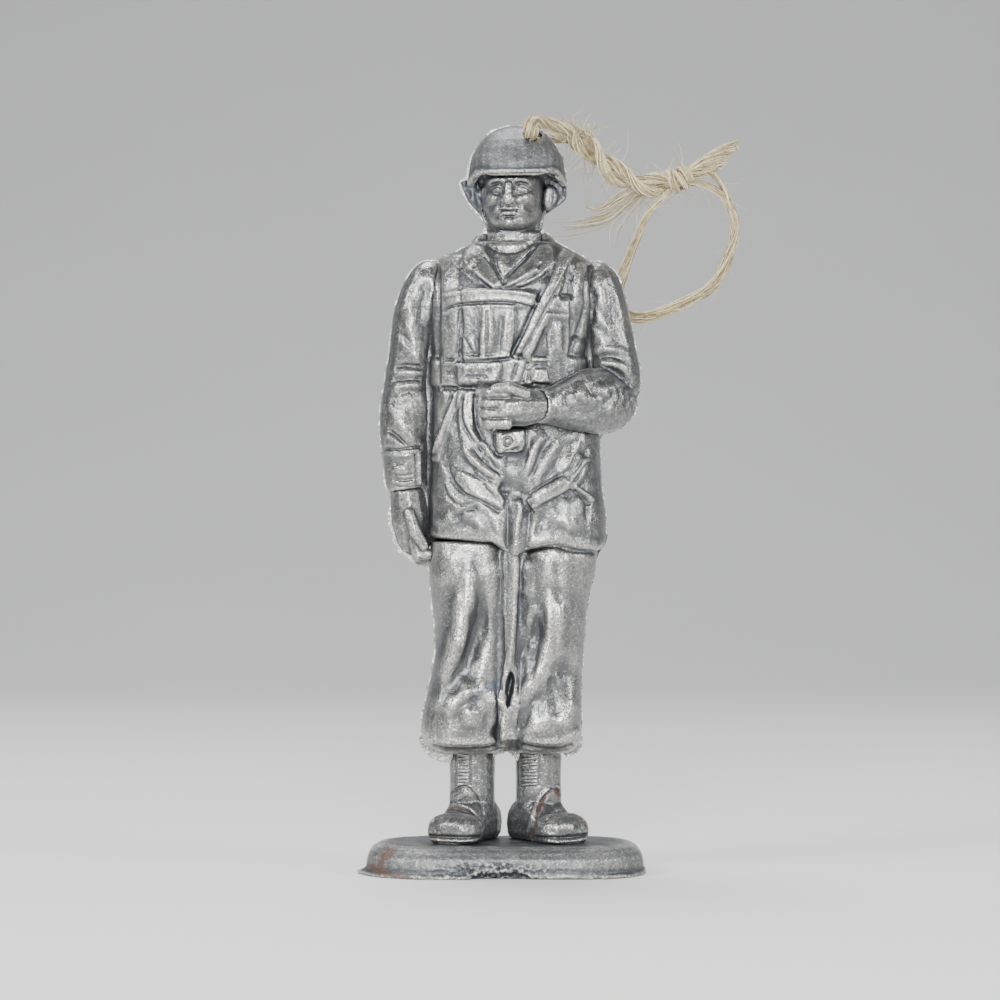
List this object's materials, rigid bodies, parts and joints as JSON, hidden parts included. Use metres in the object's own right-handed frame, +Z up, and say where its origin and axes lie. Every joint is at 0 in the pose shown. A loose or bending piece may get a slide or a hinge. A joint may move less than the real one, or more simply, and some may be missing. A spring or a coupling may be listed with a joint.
{
  "type": "toy soldier figure with hanging twine",
  "caption": "Moulded silver plastic toy soldier standing on a rounded base, with jute twine threaded through the crown of the helmet.",
  "frame": {"origin": "centre of the base's underside", "axes": "+Z up through the figure to the helmet, -Y the way that the soldier faces, +X towards the soldier's left"},
  "size_m": [0.0306, 0.0128, 0.0602],
  "materials": {
    "silver_plastic": "satin, metallic pigment",
    "twine": "rough, hairy natural fibre"
  },
  "bodies": {
    "root": {"base_plate": "silver_plastic", "right_boot": "silver_plastic", "left_boot": "silver_plastic", "right_trouser_leg": "silver_plastic", "left_trouser_leg": "silver_plastic", "inseam_web": "silver_plastic", "jacket": "silver_plastic", "belt": "silver_plastic", "belt_buckle": "silver_plastic", "right_pocket": "silver_plastic", "left_pocket": "silver_plastic", "left_pocket_flap": "silver_plastic", "chest_strap": "silver_plastic", "right_shoulder_strap": "silver_plastic", "left_shoulder_strap": "silver_plastic", "sling_strap": "silver_plastic", "sling_end": "silver_plastic", "right_leg_strap": "silver_plastic", "left_leg_strap": "silver_plastic", "right_collar": "silver_plastic", "left_collar": "silver_plastic", "shirt_neck": "silver_plastic", "right_sleeve": "silver_plastic", "right_cuff": "silver_plastic", "right_hand": "silver_plastic", "left_upper_sleeve": "silver_plastic", "left_forearm": "silver_plastic", "left_hand": "silver_plastic", "head": "silver_plastic", "helmet": "silver_plastic", "twine_eye": "twine", "twine_cord": "twine", "twine_knot": "twine", "twine_tail": "twine", "twine_loop": "twine"}
  },
  "joints": []
}
